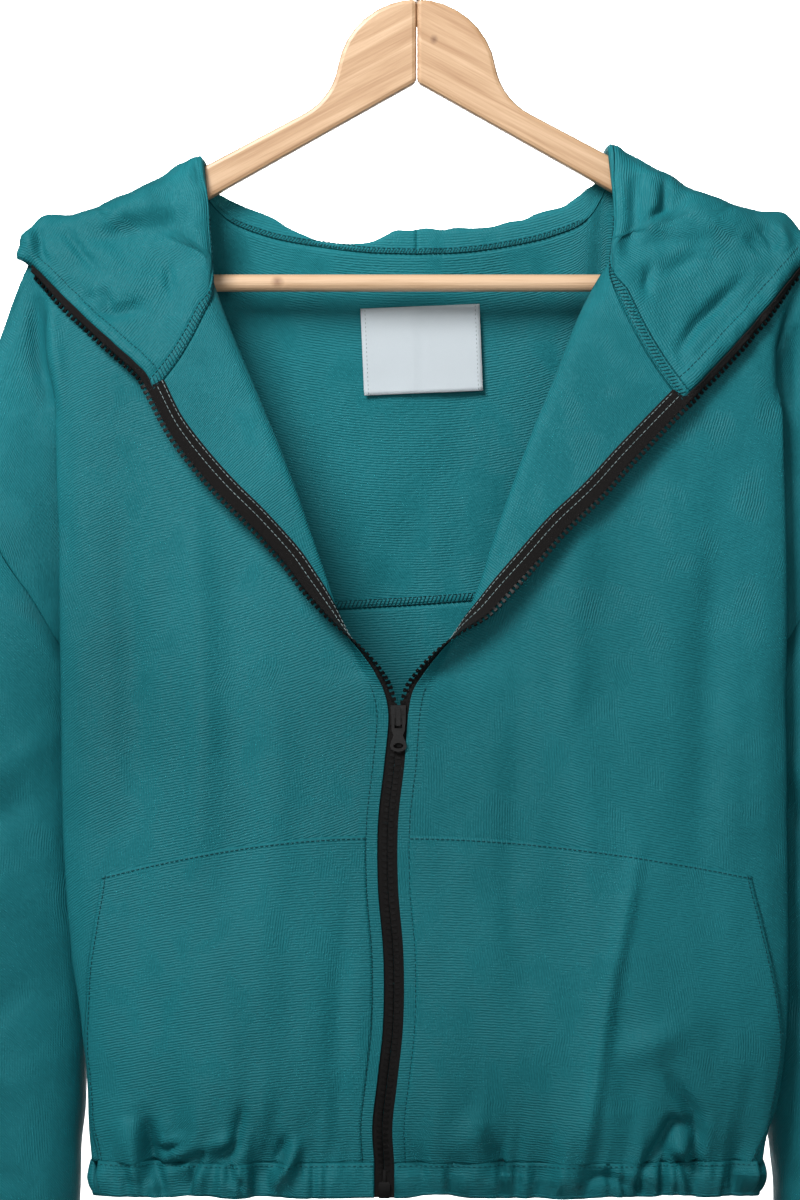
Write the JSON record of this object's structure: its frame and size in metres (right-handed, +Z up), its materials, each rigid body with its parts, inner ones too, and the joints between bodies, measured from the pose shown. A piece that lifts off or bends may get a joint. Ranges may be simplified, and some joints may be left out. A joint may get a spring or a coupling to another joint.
{
  "type": "anorak on a wooden hanger",
  "caption": "Hooded light nylon anorak with an open neck, full zip, pouch pockets and gathered hem and cuffs, hanging on a plain wooden hanger.",
  "frame": {"origin": "the point inside the top of the hanger's hook that bears on a rail", "axes": "+X to the viewer's right (the garment's left), -Y out of the garment's front, +Z up"},
  "size_m": [0.6152, 0.12, 0.8188],
  "materials": {
    "teal_nylon": "crinkled, soft sheen",
    "black_tape": "woven, matte",
    "black_teeth": "satin",
    "dark_metal": "satin black",
    "white_label": "smooth, matte",
    "pale_wood": "clear varnish",
    "hook_steel": "polished"
  },
  "bodies": {
    "garment": {"front_right": "teal_nylon", "front_left": "teal_nylon", "back_yoke": "teal_nylon", "back_body": "teal_nylon", "sleeve_right": "teal_nylon", "sleeve_left": "teal_nylon", "cuff_right": "teal_nylon", "cuff_left": "teal_nylon", "hood_right": "teal_nylon", "hood_left": "teal_nylon", "pocket_right": "teal_nylon", "pocket_left": "teal_nylon", "hem_casing": "teal_nylon", "zip_tape_right": "black_tape", "zip_tape_left": "black_tape", "zip_chain": "black_teeth", "zip_slider": "dark_metal", "label": "white_label", "hanger_arm_right": "pale_wood", "hanger_arm_left": "pale_wood", "hanger_bar": "pale_wood", "hanger_hook": "hook_steel"},
    "pull_tab": {"zip_pull": "dark_metal"}
  },
  "joints": [
    {"name": "pull_tab_swing", "type": "hinge", "parent": "garment", "child": "pull_tab", "pos_m": [-0.0106, -0.04745, -0.465], "axis": [-1, 0, 0], "range_deg": [0, 150]}
  ]
}
